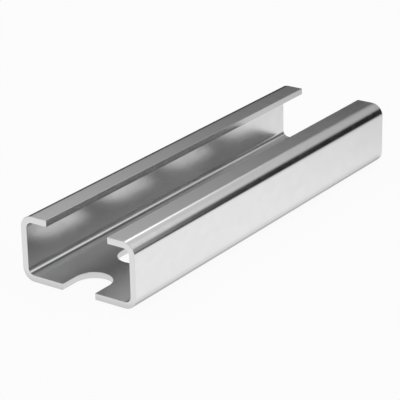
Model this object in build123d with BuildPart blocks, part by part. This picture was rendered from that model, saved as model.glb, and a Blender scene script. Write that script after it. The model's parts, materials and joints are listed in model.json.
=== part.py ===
from build123d import *
import os
from math import ceil

# C-section mounting rail: a strip of galvanised sheet, roll formed into a
# channel whose two lips turn in over the open side, with a row of long slots
# along the middle of its base. It is one piece, shown as a short sawn length.
# The frame's origin is the middle of the underside. X is across the rail,
# Y along it and Z up, towards the mouth between the lips.

# Section of the rail, in millimetres
rail_width = 30.0
rail_height = 15.0
sheet_thickness = 1.5
inner_bend_radius = 1.5
mouth_width = 16.0

# Length of the rail, sawn square at both ends
rail_length = 100.0

# Slots punched along the middle of the base
slot_length = 18.0
slot_width = 8.5
slot_pitch = 25.0

# The sheet bends around its inner radius, so outside it is larger by the sheet
outer_bend_radius = inner_bend_radius + sheet_thickness

# The space inside the section
inner_width = rail_width - 2 * sheet_thickness
inner_height = rail_height - 2 * sheet_thickness

# The row is centred on the rail, and a slot that a sawn end meets is cut open
slots_each_way = ceil(rail_length / 2 / slot_pitch)
slot_count = 2 * slots_each_way + 1


os.makedirs("parts", exist_ok=True)

with BuildPart() as c_rail:
    # Closed section, then the mouth is taken out of its top between the lips
    with BuildSketch(Plane.XZ) as section:
        with Locations((0, rail_height / 2)):
            RectangleRounded(rail_width, rail_height, outer_bend_radius)
            RectangleRounded(inner_width, inner_height, inner_bend_radius, mode=Mode.SUBTRACT)
        with Locations((0, rail_height)):
            Rectangle(mouth_width, 2 * sheet_thickness, mode=Mode.SUBTRACT)
    extrude(amount=rail_length / 2, both=True)

    # Row of round-ended slots, cut from the underside through the base
    with BuildSketch(Plane.XY) as slot_row:
        with GridLocations(0, slot_pitch, 1, slot_count):
            SlotOverall(slot_length, slot_width, rotation=90)
    extrude(amount=2 * sheet_thickness, both=True, mode=Mode.SUBTRACT)

c_rail.part.label = "c_rail"
export_step(c_rail.part, "parts/c_rail.step")

size = c_rail.part.bounding_box().size
print("size", round(size.X, 3), "x", round(size.Y, 3), "x", round(size.Z, 3), "mm")
print("volume", round(c_rail.part.volume, 1), "mm3")
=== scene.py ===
# %% [markdown]
# # A slotted C-section mounting rail
#
# The real rail starts as a flat strip of galvanised steel. A press punches a row
# of slots down its middle, rolls bend it in steps into a channel with two lips
# turned in over the open side, and a saw cuts it to length. So it is one piece,
# and nearly all of its look comes from three things: even sheet thickness round
# every bend, crisp cut edges, and a smooth zinc skin that mirrors its surroundings.
#
# This file follows that order. It loads the measured model as a fixed frame,
# sets the camera, makes the rail with Geometry Nodes, eases its edges, gives it
# a zinc finish, and lights it the way a photographer lights bright metal.

# %% Load the frame
import json
import math

import bmesh
import bpy
from mathutils import Matrix, Quaternion, Vector


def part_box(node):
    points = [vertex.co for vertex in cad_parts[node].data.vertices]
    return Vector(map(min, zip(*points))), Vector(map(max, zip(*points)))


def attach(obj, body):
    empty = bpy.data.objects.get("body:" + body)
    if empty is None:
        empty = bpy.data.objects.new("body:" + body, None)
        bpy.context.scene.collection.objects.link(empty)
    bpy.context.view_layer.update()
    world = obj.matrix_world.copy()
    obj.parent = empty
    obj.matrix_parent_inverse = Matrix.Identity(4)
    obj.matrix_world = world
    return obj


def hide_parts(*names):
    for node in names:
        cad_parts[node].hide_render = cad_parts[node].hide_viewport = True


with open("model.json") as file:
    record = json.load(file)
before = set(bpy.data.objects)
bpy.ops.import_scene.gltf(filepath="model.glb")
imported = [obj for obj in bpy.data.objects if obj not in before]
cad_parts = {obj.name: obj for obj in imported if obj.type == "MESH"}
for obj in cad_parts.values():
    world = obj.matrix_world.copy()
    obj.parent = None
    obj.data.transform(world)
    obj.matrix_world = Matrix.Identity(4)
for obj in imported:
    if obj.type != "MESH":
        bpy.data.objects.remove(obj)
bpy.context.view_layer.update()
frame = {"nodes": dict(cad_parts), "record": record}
MM = 0.001

low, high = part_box("c_rail")
print("the rail's box in mm:", [round(v / MM, 2) for v in high - low])

# %% [markdown]
# ## Camera
#
# A long lens from some way off keeps the two ends of a small object nearly the
# same size, as product photographs do. The place and the angles below were
# worked out from the rail's straight edges, which are known in all three
# directions, so every corner falls where the photograph has it.

# %% Camera
CAMERA_PLACE = Vector((224.49, -321.43, 164.35)) * MM
CAMERA_AZIMUTH = math.radians(35.43)
CAMERA_ELEVATION = math.radians(22.22)
CAMERA_ROLL = math.radians(-1.15)
LENS_MM = 167.37
SENSOR_MM = 36.0
CLIP_START, CLIP_END = 0.01, 20.0


def make_camera():
    """A camera that looks along its azimuth and elevation, with a slight roll."""
    level = math.cos(CAMERA_ELEVATION)
    forward = Vector((
        -level * math.sin(CAMERA_AZIMUTH),
        level * math.cos(CAMERA_AZIMUTH),
        -math.sin(CAMERA_ELEVATION),
    ))
    data = bpy.data.cameras.new("camera")
    data.lens = LENS_MM
    data.sensor_width = SENSOR_MM
    data.clip_start, data.clip_end = CLIP_START, CLIP_END
    camera = bpy.data.objects.new("camera", data)
    bpy.context.scene.collection.objects.link(camera)
    turn = forward.to_track_quat("-Z", "Y") @ Quaternion((0, 0, 1), CAMERA_ROLL)
    camera.matrix_world = Matrix.Translation(CAMERA_PLACE) @ turn.to_matrix().to_4x4()
    bpy.context.scene.camera = camera


make_camera()
print("camera", round(CAMERA_PLACE.length / MM), "mm from the rail's middle")

# %% [markdown]
# ## A shorthand for node trees
#
# Node trees written out by hand are long and hard to follow. The two classes
# below let a sum be written as a sum. `Wire` wraps one socket, and each operator
# on it adds a Math node. `Tree.node` makes any other node from its type, its
# settings and what goes into its sockets. Both serve shaders and Geometry Nodes.

# %% Node shorthand
class Wire:
    """A socket that can stand in a Python expression."""

    def __init__(self, tree, socket):
        self.tree, self.socket = tree, socket

    def math(self, operation, *values):
        """A Math node on values, in their order."""
        return self.tree.node("ShaderNodeMath", {"operation": operation}, dict(enumerate(values)))[0]

    def __add__(self, other):
        return self.math("ADD", self, other)

    def __radd__(self, other):
        return self.math("ADD", other, self)

    def __sub__(self, other):
        return self.math("SUBTRACT", self, other)

    def __rsub__(self, other):
        return self.math("SUBTRACT", other, self)

    def __mul__(self, other):
        return self.math("MULTIPLY", self, other)

    def __rmul__(self, other):
        return self.math("MULTIPLY", other, self)

    def __truediv__(self, other):
        return self.math("DIVIDE", self, other)

    def __rtruediv__(self, other):
        return self.math("DIVIDE", other, self)

    def __neg__(self):
        return self.math("MULTIPLY", self, -1.0)

    def __abs__(self):
        return self.math("ABSOLUTE", self)

    def __gt__(self, other):
        return self.math("GREATER_THAN", self, other)

    def __lt__(self, other):
        return self.math("LESS_THAN", self, other)


class Made:
    """A new node, whose outputs are taken by name or number."""

    def __init__(self, tree, node):
        self.tree, self.node = tree, node

    def __getitem__(self, key):
        return Wire(self.tree, self.node.outputs[key])


class Tree:
    """A node tree with one method that adds any node."""

    def __init__(self, tree):
        self.tree = tree

    def node(self, kind, settings=None, sockets=None):
        """Any node, from its type, its settings and what its sockets hold."""
        node = self.tree.nodes.new(kind)
        for name, value in (settings or {}).items():
            if name == "items":
                while len(node.index_switch_items) < value:
                    node.index_switch_items.new()
            else:
                setattr(node, name, value)
        for name, value in (sockets or {}).items():
            if isinstance(value, Wire):
                self.tree.links.new(value.socket, node.inputs[name])
            else:
                node.inputs[name].default_value = value
        return Made(self, node)

    def vector(self, x, y, z):
        """Three numbers or wires as one vector."""
        return self.node("ShaderNodeCombineXYZ", None, {0: x, 1: y, 2: z})[0]


# %% [markdown]
# ## Sizes
#
# The outside comes from the frame and the slots from the record's own mount, so
# this file can't drift away from the measured model. Only the sheet, the bend
# and the mouth are stated again, and the finished mesh is tested against the
# frame further down.

# %% Sizes
rail_width, rail_length, rail_height = high - low
sheet = 1.5 * MM
bend_radius = 1.5 * MM
mouth = 16.0 * MM
ROUNDING_ERROR = 1e-6

mounts = {m["name"]: m for m in frame["record"]["mounts"]}
slot_dims = mounts["base_slots"]["dims"]
slot_width = 2 * slot_dims["hole_r_mm"] * MM
slot_length = slot_dims["slot_length_mm"] * MM
slot_pitch = slot_dims["spacing_y_mm"] * MM / 2
slots_each_way = math.ceil(rail_length / 2 / slot_pitch - ROUNDING_ERROR)
slot_count = 2 * slots_each_way + 1

print("slots", slot_count, "of", round(slot_width / MM, 2), "x", round(slot_length / MM, 2), "mm")

# %% [markdown]
# ## The rail as a Geometry Nodes tree
#
# The rail follows one rule all the way along, so a tree of nodes suits it better
# than pushing points about. A line of six corners is the middle of the sheet's
# thickness, seen from the end. Filleting it puts in the four bends. The strip's
# own long, thin rectangle is then carried round that line, which is what the
# rolls do: the sheet is equally thick on the flats and round the bends.
#
# The slots repeat at a fixed pitch, so one cutter is made and set out on a line
# of points. The row is centred, and the outermost cutters run off the sawn ends,
# which leaves the open half slots that the real piece has.

# %% Tree inputs
BEND_STEPS = 20
SLOT_END_STEPS = 16

rail_tree = bpy.data.node_groups.new("c_rail_tree", "GeometryNodeTree")
rail_tree.is_modifier = True
rail_tree.interface.new_socket(name="Geometry", in_out="OUTPUT", socket_type="NodeSocketGeometry")
identifiers = {}
for name, kind, value in (
    ("Width", "NodeSocketFloat", rail_width),
    ("Height", "NodeSocketFloat", rail_height),
    ("Length", "NodeSocketFloat", rail_length),
    ("Sheet", "NodeSocketFloat", sheet),
    ("Bend Radius", "NodeSocketFloat", bend_radius),
    ("Mouth", "NodeSocketFloat", mouth),
    ("Slot Width", "NodeSocketFloat", slot_width),
    ("Slot Length", "NodeSocketFloat", slot_length),
    ("Slot Pitch", "NodeSocketFloat", slot_pitch),
    ("Slot Count", "NodeSocketInt", slot_count),
    ("Bend Steps", "NodeSocketInt", BEND_STEPS),
    ("Slot End Steps", "NodeSocketInt", SLOT_END_STEPS),
    ("Finish", "NodeSocketMaterial", None),
):
    socket = rail_tree.interface.new_socket(name=name, in_out="INPUT", socket_type=kind)
    identifiers[name] = (socket.identifier, value)

tree = Tree(rail_tree)
given = tree.node("NodeGroupInput")
print("tree inputs:", ", ".join(identifiers))


# %% Bent strip
def bent_strip():
    """The sheet's rectangle carried round the section's middle line."""
    half_sheet = given["Sheet"] * 0.5
    side = given["Width"] * 0.5 - half_sheet
    top = given["Height"] - half_sheet
    lip = given["Mouth"] * 0.5
    corners = [
        (-lip, top), (-side, top), (-side, half_sheet),
        (side, half_sheet), (side, top), (lip, top),
    ]
    places = {str(i): tree.vector(x, 0.0, z) for i, (x, z) in enumerate(corners)}
    index = tree.node("GeometryNodeInputIndex")[0]
    corner = tree.node(
        "GeometryNodeIndexSwitch",
        {"data_type": "VECTOR", "items": len(corners)},
        {"Index": index, **places},
    )[0]
    points = tree.node("GeometryNodeMeshLine", None, {"Count": len(corners)})[0]
    moved = tree.node("GeometryNodeSetPosition", None, {"Geometry": points, "Position": corner})[0]
    line = tree.node("GeometryNodeMeshToCurve", None, {"Mesh": moved})[0]
    middle = tree.node(
        "GeometryNodeFilletCurve",
        {"mode": "POLY"},
        {"Curve": line, "Count": given["Bend Steps"], "Radius": given["Bend Radius"] + half_sheet},
    )[0]
    strip = tree.node(
        "GeometryNodeCurvePrimitiveQuadrilateral",
        None,
        {"Width": given["Length"], "Height": given["Sheet"]},
    )[0]
    return tree.node(
        "GeometryNodeCurveToMesh", None, {"Curve": middle, "Profile Curve": strip, "Fill Caps": True}
    )[0]


strip = bent_strip()


# %% Slot cutters
SAME_POINT = 0.001 * MM


def slot_row():
    """One round-ended cutter for each slot, on a centred line of points."""
    outline = tree.node(
        "GeometryNodeCurvePrimitiveQuadrilateral",
        None,
        {"Width": given["Slot Width"], "Height": given["Slot Length"]},
    )[0]
    rounded = tree.node(
        "GeometryNodeFilletCurve",
        {"mode": "POLY"},
        {
            "Curve": outline,
            "Count": given["Slot End Steps"],
            "Radius": given["Slot Width"] * 0.5,
            "Limit Radius": True,
        },
    )[0]
    stroke = tree.node(
        "GeometryNodeCurvePrimitiveLine",
        None,
        {
            "Start": tree.vector(0.0, 0.0, -given["Sheet"]),
            "End": tree.vector(0.0, 0.0, given["Sheet"] * 2),
        },
    )[0]
    punch = tree.node(
        "GeometryNodeCurveToMesh", None, {"Curve": stroke, "Profile Curve": rounded, "Fill Caps": True}
    )[0]
    punch = tree.node(
        "GeometryNodeMergeByDistance", None, {"Geometry": punch, "Distance": SAME_POINT}
    )[0]
    first = (given["Slot Count"] - 1) * given["Slot Pitch"] * -0.5
    places = tree.node(
        "GeometryNodeMeshLine",
        {"mode": "OFFSET"},
        {
            "Count": given["Slot Count"],
            "Start Location": tree.vector(0.0, first, 0.0),
            "Offset": tree.vector(0.0, given["Slot Pitch"], 0.0),
        },
    )[0]
    row = tree.node("GeometryNodeInstanceOnPoints", None, {"Points": places, "Instance": punch})[0]
    return tree.node("GeometryNodeRealizeInstances", None, {"Geometry": row})[0]


cut = tree.node(
    "GeometryNodeMeshBoolean",
    {"operation": "DIFFERENCE", "solver": "EXACT"},
    {"Mesh 1": strip, "Mesh 2": slot_row()},
)["Mesh"]

# %% [markdown]
# ## Which edges are rounded, and by how much
#
# No real edge is a perfect corner. The saw and the blades that slit the strip leave
# crisp edges with hardly a burr, and the punch draws the sheet down round the side
# that it goes in, here the underside. The tree marks each sharp edge with its own
# share of the widest rounding, and a Bevel modifier reads the marks.
#
# The same tests name the faces for the finish later: the sawn ends, the punched slot
# walls, the slit edges of the lips, the skin inside the channel, and the bottom of the
# channel, which runs a little way up the bends and gets a painted shade.

# %% Edge marks
WIDEST_ROUNDING = 0.28 * MM
SHARP = math.radians(40)
SAWN_SHARE, SLIT_SHARE, PUNCH_IN_SHARE, PUNCH_OUT_SHARE = 0.30, 0.25, 1.0, 0.35
TROUGH_SHADE_RISE = 0.25
CLOSE = 0.01 * MM
SQUARE_ON, SIDEWAYS = 0.999, 0.5


def mark_edges(mesh):
    """Store each sharp edge's share of the widest rounding, and what kind each face is."""
    place = tree.node("GeometryNodeInputPosition")[0]
    x, y, z = (tree.node("ShaderNodeSeparateXYZ", None, {0: place})[i] for i in range(3))
    angle = tree.node("GeometryNodeInputMeshEdgeAngle")["Unsigned Angle"]
    at_end = abs(y) > given["Length"] * 0.5 - CLOSE
    by_slot = (abs(x) < given["Slot Width"] * 0.5 + CLOSE) * (z < given["Sheet"] + CLOSE)
    under = z < CLOSE
    slot_share = PUNCH_OUT_SHARE + (PUNCH_IN_SHARE - PUNCH_OUT_SHARE) * under
    other_share = SLIT_SHARE + (slot_share - SLIT_SHARE) * by_slot
    share = other_share + (SAWN_SHARE - other_share) * at_end
    mesh = tree.node(
        "GeometryNodeStoreNamedAttribute",
        {"data_type": "FLOAT", "domain": "EDGE"},
        {"Geometry": mesh, "Name": "bevel_weight_edge", "Value": share * (angle > SHARP)},
    )[0]
    normal = tree.node("GeometryNodeInputNormal")[0]
    across, along, up = (tree.node("ShaderNodeSeparateXYZ", None, {0: normal})[i] for i in range(3))
    by_mouth = (abs(x) < given["Mouth"] * 0.5 + CLOSE) * (z > given["Height"] - given["Sheet"] - CLOSE)
    half_sheet = given["Sheet"] * 0.5
    within = (z > half_sheet) * (z < given["Height"] - half_sheet)
    for name, mark in (
        ("sawn", (abs(along) > SQUARE_ON) * at_end),
        ("punched", by_slot * (abs(up) < SIDEWAYS)),
        ("slit", by_mouth * (abs(across) > SQUARE_ON)),
        ("inside", within * (abs(x) < given["Width"] * 0.5 - half_sheet)),
        # The trough mark says where the painted shade goes on the bottom of the channel.
        ("trough", within * (z < given["Sheet"] + given["Bend Radius"] * TROUGH_SHADE_RISE)),
    ):
        mesh = tree.node(
            "GeometryNodeStoreNamedAttribute",
            {"data_type": "FLOAT", "domain": "FACE"},
            {"Geometry": mesh, "Name": name, "Value": mark},
        )[0]
    return mesh


marked = mark_edges(cut)
smooth = tree.node("GeometryNodeSetShadeSmooth", None, {"Geometry": marked, "Shade Smooth": True})[0]
realized = tree.node("GeometryNodeRealizeInstances", None, {"Geometry": smooth})[0]
finished = tree.node(
    "GeometryNodeSetMaterial", None, {"Geometry": realized, "Material": given["Finish"]}
)[0]
tree.node("NodeGroupOutput", None, {"Geometry": finished})
print("nodes in the rail's tree:", len(rail_tree.nodes))

# %% [markdown]
# ## Zinc finish
#
# The strip runs through molten zinc and then between smooth rolls, so its skin is
# bright, neutral grey and has none of the large frosty crystals of a dipped
# casting. What is left is fine: lines that the rolls drew along the strip, a faint
# patchwork of flattened crystals, a slow waviness from the bending, and a grain
# too small to see, which makes every reflection a little soft.
#
# An image of metal would repeat and would stretch round the bends. Noise worked
# out from the place on the object has no seams, and when it is squeezed across
# the rail and drawn out along it, it turns into lines that follow every face.
# All of it is kept weak: the eye knows metal by its reflections, and a strong
# pattern would hide them.

# %% Zinc skin
LINE_CELL = (0.35, 16.0, 0.35)
BAND_CELL = (2.2, 90.0, 2.2)
WAVE_CELL = (10.0, 45.0, 10.0)
GRAIN_CELL = (0.12, 0.12, 0.12)
CRYSTAL_SIZE = 2.4
SMOOTH, SOFT, CRISP = 0.0, 1.0, 2.0

zinc = bpy.data.materials.new("zinc_skin")
zinc.use_nodes = True
zinc.node_tree.nodes.clear()
skin = Tree(zinc.node_tree)
on_rail = skin.node("ShaderNodeTexCoord")["Object"]
place_mm = skin.node(
    "ShaderNodeVectorMath", {"operation": "SCALE"}, {0: on_rail, "Scale": 1 / MM}
)["Vector"]


def noise(cell, detail):
    """Noise from 0 to 1 whose patches measure cell, an x, y, z in millimetres."""
    stretched = skin.node(
        "ShaderNodeVectorMath", {"operation": "DIVIDE"}, {0: place_mm, 1: cell}
    )["Vector"]
    return skin.node(
        "ShaderNodeTexNoise", None, {"Vector": stretched, "Scale": 1.0, "Detail": detail}
    )[0]


lines = noise(LINE_CELL, CRISP)
bands = noise(BAND_CELL, SOFT)
waves = noise(WAVE_CELL, SMOOTH)
grain = noise(GRAIN_CELL, SOFT)
tiles = skin.node(
    "ShaderNodeTexVoronoi", None, {"Vector": place_mm, "Scale": 1 / CRYSTAL_SIZE}
)["Color"]
crystals = skin.node("ShaderNodeSeparateColor", None, {0: tiles})[0]
print("crystals", CRYSTAL_SIZE, "mm across, roll lines", LINE_CELL[0], "mm apart")

# %% [markdown]
# ## Cut faces
#
# The zinc went on before the strip was cut, so cut faces show bare steel. A saw
# leaves fine marks straight across the end, which greys it a little. A punch or a
# slitting blade shears the first part of the thickness, which comes out smooth, and
# tears the rest, which comes out rougher, with marks in the direction of the cut.
# The slot walls are painted the brightest, a painted highlight that makes up for the
# shaded floor under the rail which they mirror. The slit edges are painted the
# darkest, a painted shade on the lips' cut edges.
# Painting such faces by hand would have to be redone after any change of size, so
# the marks stored by the Geometry Nodes say which face is which.

# %% Cut faces
SAW_CELL = (12.0, 0.5, 0.18)
TEAR_CELL = (0.16, 0.16, 1.5)
SHEARED_SHARE = 0.4


def stored(name):
    """An attribute that the rail's tree wrote on the faces."""
    return skin.node("ShaderNodeAttribute", {"attribute_name": name})["Fac"]


sawn, punched, slit = stored("sawn"), stored("punched"), stored("slit")
inside, trough = stored("inside"), stored("trough")
sheared = punched + slit
cut_face = sawn + sheared
thickness = skin.node("ShaderNodeSeparateXYZ", None, {0: place_mm})[2] * (MM / sheet)
torn = sheared * (thickness.math("FRACT", thickness) > SHEARED_SHARE)
saw_marks = noise(SAW_CELL, CRISP)
tear_marks = noise(TEAR_CELL, CRISP)
print("cut faces: sawn, punched and slit,", SHEARED_SHARE, "of the last two sheared smooth")

# %% [markdown]
# ## The finish put together
#
# Three things reach the shader. The colour shifts by a few hundredths between
# crystals and turns to steel on cut faces. Along the bottom of the channel it is
# painted clearly darker, a painted shade for the shade that falls down there.
# The roughness shifts with the crystals too, which is what really shows them:
# each one mirrors more or less sharply than its neighbour. Inside the channel the
# skin mirrors less sharply and has no fine grain, because only the outer side ran
# against the polished rolls. The bump takes heights in thousandths of a millimetre,
# the true depth of such lines, so it bends the reflections very little.

# %% Finish
ZINC_BRIGHT, ZINC_DIM = (0.79, 0.79, 0.79, 1.0), (0.76, 0.76, 0.76, 1.0)
# Painted shade: the trough colours darken the bottom of the channel.
TROUGH_SHADE_BRIGHT, TROUGH_SHADE_DIM = (0.48, 0.48, 0.48, 1.0), (0.44, 0.44, 0.44, 1.0)
SAWN_BRIGHT, SAWN_DIM = (0.74, 0.74, 0.74, 1.0), (0.69, 0.69, 0.69, 1.0)
# Painted highlight: the punched colours make the slot walls brighter than the other bare steel.
PUNCHED_HIGHLIGHT_BRIGHT, PUNCHED_HIGHLIGHT_DIM = (0.84, 0.84, 0.84, 1.0), (0.78, 0.78, 0.78, 1.0)
# Painted shade: the slit colours make the lips' cut edges darker than the other bare steel.
SLIT_SHADE_BRIGHT, SLIT_SHADE_DIM = (0.63, 0.63, 0.63, 1.0), (0.57, 0.57, 0.57, 1.0)
ZINC_ROUGHNESS, INNER_ROUGHNESS, STEEL_ROUGHNESS, TORN_EXTRA = 0.15, 0.25, 0.14, 0.05
CRYSTAL_SHIFT, BAND_SHIFT = 0.03, 0.05
LINE_HEIGHT, WAVE_HEIGHT, GRAIN_HEIGHT = 0.0004, 0.004, 0.0001
SAW_HEIGHT, TEAR_HEIGHT = 0.0015, 0.0025


def blend(factor, first, second):
    """A colour between two others."""
    return skin.node("ShaderNodeMix", {"data_type": "RGBA"}, {0: factor, 6: first, 7: second})[2]


coated = 1 - cut_face
patches = crystals * 0.5 + bands * 0.5
zinc_colour = blend(patches, ZINC_BRIGHT, ZINC_DIM)
trough_shade_colour = blend(patches, TROUGH_SHADE_BRIGHT, TROUGH_SHADE_DIM)
# The bottom of the channel is blended to the darker trough colours, a painted shade.
colour = blend(trough, zinc_colour, trough_shade_colour)
# Cut faces turn to steel, with a painted highlight on the slot walls and a painted shade on the slit
# edges.
for face, cut_marks, bright, dim_steel in (
    (sawn, saw_marks, SAWN_BRIGHT, SAWN_DIM),
    (punched, tear_marks, PUNCHED_HIGHLIGHT_BRIGHT, PUNCHED_HIGHLIGHT_DIM),
    (slit, tear_marks, SLIT_SHADE_BRIGHT, SLIT_SHADE_DIM),
):
    colour = blend(face, colour, blend(cut_marks, bright, dim_steel))
patchy = (crystals - 0.5) * CRYSTAL_SHIFT + (bands - 0.5) * BAND_SHIFT
skin_roughness = ZINC_ROUGHNESS + inside * (INNER_ROUGHNESS - ZINC_ROUGHNESS) + patchy
roughness = skin_roughness * coated + cut_face * STEEL_ROUGHNESS + torn * TORN_EXTRA
skin_height = lines * LINE_HEIGHT + waves * WAVE_HEIGHT + grain * (1 - inside) * GRAIN_HEIGHT
cut_height = sawn * saw_marks * SAW_HEIGHT + torn * tear_marks * TEAR_HEIGHT
height_mm = skin_height * coated + cut_height
bump = skin.node(
    "ShaderNodeBump", None, {"Strength": 1.0, "Distance": MM, "Height": height_mm}
)["Normal"]
metal = skin.node(
    "ShaderNodeBsdfPrincipled",
    None,
    {"Base Color": colour, "Metallic": 1.0, "Roughness": roughness, "Normal": bump},
)[0]
skin.node("ShaderNodeOutputMaterial", None, {"Surface": metal})
print("nodes in the finish:", len(zinc.node_tree.nodes))

# %% [markdown]
# ## From tree to plain mesh
#
# The tree is evaluated once, with a Bevel after it that reads the marks and a
# Weighted Normal that keeps the flats flat beside the small roundings. The result
# is kept as a plain mesh. Its volume is then set against the measured model's,
# whose loose triangles are merged in a working copy first.

# %% Rail
ROUNDING_STEPS = 3
FLATS_WEIGHT = 100


def make_rail():
    """The finished rail as one plain mesh, at the origin."""
    holder = bpy.data.objects.new("c_rail_holder", bpy.data.meshes.new("c_rail_holder"))
    bpy.context.scene.collection.objects.link(holder)
    nodes = holder.modifiers.new("rail", "NODES")
    nodes.node_group = rail_tree
    for name, (identifier, value) in identifiers.items():
        nodes[identifier] = zinc if name == "Finish" else value
    bevel = holder.modifiers.new("eased edges", "BEVEL")
    bevel.limit_method = "WEIGHT"
    bevel.offset_type = "OFFSET"
    bevel.width = WIDEST_ROUNDING
    bevel.segments = ROUNDING_STEPS
    bevel.miter_outer = "MITER_SHARP"
    flats = holder.modifiers.new("flat faces", "WEIGHTED_NORMAL")
    flats.mode = "FACE_AREA"
    flats.weight = FLATS_WEIGHT
    flats.keep_sharp = False
    bpy.context.view_layer.update()
    graph = bpy.context.evaluated_depsgraph_get()
    mesh = bpy.data.meshes.new_from_object(holder.evaluated_get(graph), depsgraph=graph)
    mesh.name = "c_rail_sheet"
    bpy.data.objects.remove(holder)
    rail = bpy.data.objects.new("c_rail_sheet", mesh)
    bpy.context.scene.collection.objects.link(rail)
    return rail


rail = make_rail()
print("rail:", len(rail.data.vertices), "vertices,", len(rail.data.polygons), "faces")

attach(rail, "root")
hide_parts("c_rail")

# %% Rail against the frame
MERGED = 0.0001 * MM


def open_edges_and_volume(mesh):
    """How many edges lack two faces, and the volume inside in cubic millimetres."""
    work = bmesh.new()
    work.from_mesh(mesh)
    bmesh.ops.remove_doubles(work, verts=work.verts, dist=MERGED)
    loose = sum(len(edge.link_faces) != 2 for edge in work.edges)
    volume = work.calc_volume(signed=True) / MM**3
    work.free()
    return loose, round(volume, 1)


for name, mesh in (("rail", rail.data), ("frame", frame["nodes"]["c_rail"].data)):
    loose, volume = open_edges_and_volume(mesh)
    print(name, "has", loose, "open edges and holds", volume, "mm3")

# %% [markdown]
# ## Floor
#
# The rail lies on a white table that is lit evenly, so its outer wall is bright:
# it looks down at the paper beside it. Further off the paper ends, and the dim room
# behind it draws the thin dark line along the outer bend, which is what makes the
# steel look polished and not just pale.
#
# One large plane is the whole table. Light Path tells its paint who is looking. The
# camera sees nearly plain white, with a little of the true shaded paper mixed in, so
# the rail's shadow stays. The metal sees a white pool that fades into a dim floor,
# and a soft shade under the rail and close beside it, which greys the lower bends.
# Nothing here is brighter than white, so the background adds no light to the object.

# %% Floor
TABLE_SIDE = 6.0
PAPER = (0.9, 0.9, 0.9, 1.0)
POOL_CENTRE = (-20.0 * MM, -80.0 * MM, 0.0)
POOL_EDGE, POOL_END = 82.0 * MM, 360.0 * MM
SHADE_OUT, SHADE_IN = 5.0 * MM, -1.0 * MM
CAMERA_SHARE, METAL_SHARE, ROOM_SHARE, SHADE_SHARE = 0.92, 1.0, 0.93, 0.23

bpy.ops.mesh.primitive_plane_add(size=TABLE_SIDE, location=(0, 0, 0))
floor = bpy.context.object
floor.name = "floor"
floor_paint = bpy.data.materials.new("floor_paint")
floor_paint.use_nodes = True
floor_paint.node_tree.nodes.clear()
floor.data.materials.append(floor_paint)
paint = Tree(floor_paint.node_tree)
spot = paint.node("ShaderNodeTexCoord")["Object"]
reach = paint.node(
    "ShaderNodeVectorMath", {"operation": "DISTANCE"}, {0: spot, 1: POOL_CENTRE}
)["Value"]
beyond = paint.node(
    "ShaderNodeMapRange",
    {"interpolation_type": "SMOOTHSTEP"},
    {"Value": reach, "From Min": POOL_EDGE, "From Max": POOL_END},
)[0]
spot_parts = paint.node("ShaderNodeSeparateXYZ", None, {0: spot})
out_across = abs(spot_parts[0]) - rail_width / 2
out_along = abs(spot_parts[1]) - rail_length / 2
clear = out_across.math("MAXIMUM", out_across, out_along)
under = paint.node(
    "ShaderNodeMapRange",
    {"interpolation_type": "SMOOTHSTEP"},
    {"Value": clear, "From Min": SHADE_OUT, "From Max": SHADE_IN},
)[0]
ray = paint.node("ShaderNodeLightPath")
mirrored = ray["Is Glossy Ray"] + ray["Is Transmission Ray"]
shaded = paint.node("ShaderNodeBsdfDiffuse", None, {"Color": PAPER})[0]
white = paint.node("ShaderNodeEmission", None, {"Strength": 1.0})[0]
dim = paint.node("ShaderNodeEmission", None, {"Strength": 0.0})[0]
share = ray["Is Camera Ray"] * CAMERA_SHARE + mirrored * METAL_SHARE
lit = paint.node("ShaderNodeMixShader", None, {0: share, 1: shaded, 2: white})[0]
dimmed = beyond * ROOM_SHARE + under * SHADE_SHARE
whole = paint.node("ShaderNodeMixShader", None, {0: mirrored * dimmed, 1: lit, 2: dim})[0]
paint.node("ShaderNodeOutputMaterial", None, {"Surface": whole})
print("white pool", round(POOL_EDGE / MM), "mm each way, gone at", round(POOL_END / MM), "mm")

# %% [markdown]
# ## Surroundings
#
# Bright metal has hardly any look of its own: each face shows one direction of the
# room. A flat on the rail mirrors a narrow patch of it, and a bend sweeps through a
# whole arc from floor to ceiling, so the bends are the best record of the lights.
#
# Lamps would give hard highlights, and a picture of a studio isn't needed. The world
# shader is worked out from two angles instead: the height above the horizon, and how
# far a direction lies aside from the rail's own line. Each light is a soft mask of
# those two angles, on one side or both, and the small key light on the left is a
# soft round spot. Every mask is multiplied by its strength, and all of them are
# added up. The camera itself sees plain white.

# %% Directions
DEGREES = math.degrees(1.0)
world = bpy.data.worlds.new("studio")
world.use_nodes = True
world.node_tree.nodes.clear()
bpy.context.scene.world = world
sky = Tree(world.node_tree)
way = sky.node("ShaderNodeTexCoord")["Generated"]
across, along, up = (sky.node("ShaderNodeSeparateXYZ", None, {0: way})[i] for i in range(3))
height = up.math("ARCSINE", up) * DEGREES
aside = along.math("ARCCOSINE", abs(along)) * DEGREES


def ramp(value, start, end):
    """0 before start, 1 after end, and a soft change between the two."""
    return sky.node(
        "ShaderNodeMapRange",
        {"interpolation_type": "SMOOTHSTEP"},
        {"Value": value, "From Min": start, "From Max": end},
    )[0]


def direction(azimuth, elevation):
    """A unit vector from two angles in degrees, azimuth 0 being along the rail."""
    azimuth, elevation = math.radians(azimuth), math.radians(elevation)
    level = math.cos(elevation)
    return (level * math.sin(azimuth), level * math.cos(azimuth), math.sin(elevation))


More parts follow.
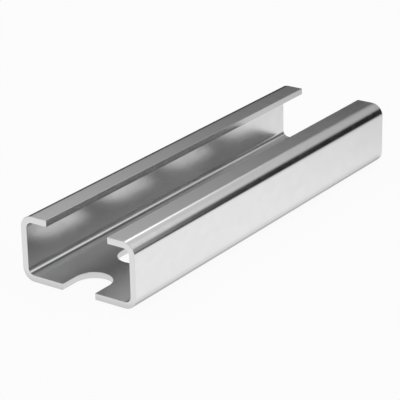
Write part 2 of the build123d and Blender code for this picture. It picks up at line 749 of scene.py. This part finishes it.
def soft_spot(azimuth, elevation, spread):
    """A round light that fades out over its spread in degrees."""
    centre = direction(azimuth, elevation)
    near = sky.node("ShaderNodeVectorMath", {"operation": "DOT_PRODUCT"}, {0: way, 1: centre})["Value"]
    return near.math("EXPONENT", (near - 1.0) / math.radians(spread) ** 2)


# %% Lights
LEFT_STEP = 0.2
CEILING_RIGHT, CEILING_LEFT, CEILING_ASIDE = (18.0, 34.0), (26.0, 36.0), (26.0, 44.0)
OVERHEAD, ROOM = (48.0, 60.0), (-10.0, -5.0)
WINDOW_ASIDE, WINDOW_FOOT, WINDOW_HEAD = (41.3, 44.0), (0.0, 7.0), (46.0, 36.0)
WALL_ASIDE, WALL_FOOT, WALL_HEAD = (32.0, 48.0), (8.0, 30.0), (36.0, 26.0)
KEY_AZIMUTH, KEY_HEIGHT, KEY_SPREAD = -30.5, 39.5, 3.5
STRENGTHS = {
    "ceiling": 0.36, "ceiling_out": 0.48, "overhead": 0.3, "room": 0.015,
    "right_window": 0.57, "left_wall": 0.19, "left_wall_out": 0.63, "left_key": 3.9,
}

left = ramp(across, LEFT_STEP, -LEFT_STEP)
right = 1.0 - left
ceiling = ramp(height, *CEILING_RIGHT) * right + ramp(height, *CEILING_LEFT) * left
window = ramp(aside, *WINDOW_ASIDE) * ramp(height, *WINDOW_FOOT) * ramp(height, *WINDOW_HEAD)
wall = ramp(height, *WALL_FOOT) * ramp(height, *WALL_HEAD) * left
masks = {
    "ceiling": ceiling,
    "ceiling_out": ceiling * ramp(aside, *CEILING_ASIDE),
    "overhead": ramp(height, *OVERHEAD),
    "room": ramp(height, *ROOM),
    "right_window": window * right,
    "left_wall": wall,
    "left_wall_out": wall * ramp(aside, *WALL_ASIDE),
    "left_key": soft_spot(KEY_AZIMUTH, KEY_HEIGHT, KEY_SPREAD),
}
total = sum(mask * STRENGTHS[name] for name, mask in masks.items())
print("lights:", ", ".join(masks))

# %% World
eye = sky.node("ShaderNodeLightPath")["Is Camera Ray"]
backdrop = sky.node("ShaderNodeBackground", None, {"Strength": total + (1.0 - total) * eye})[0]
sky.node("ShaderNodeOutputWorld", None, {"Surface": backdrop})
bpy.context.scene.view_settings.view_transform = "Standard"
print("nodes in the world:", len(world.node_tree.nodes))
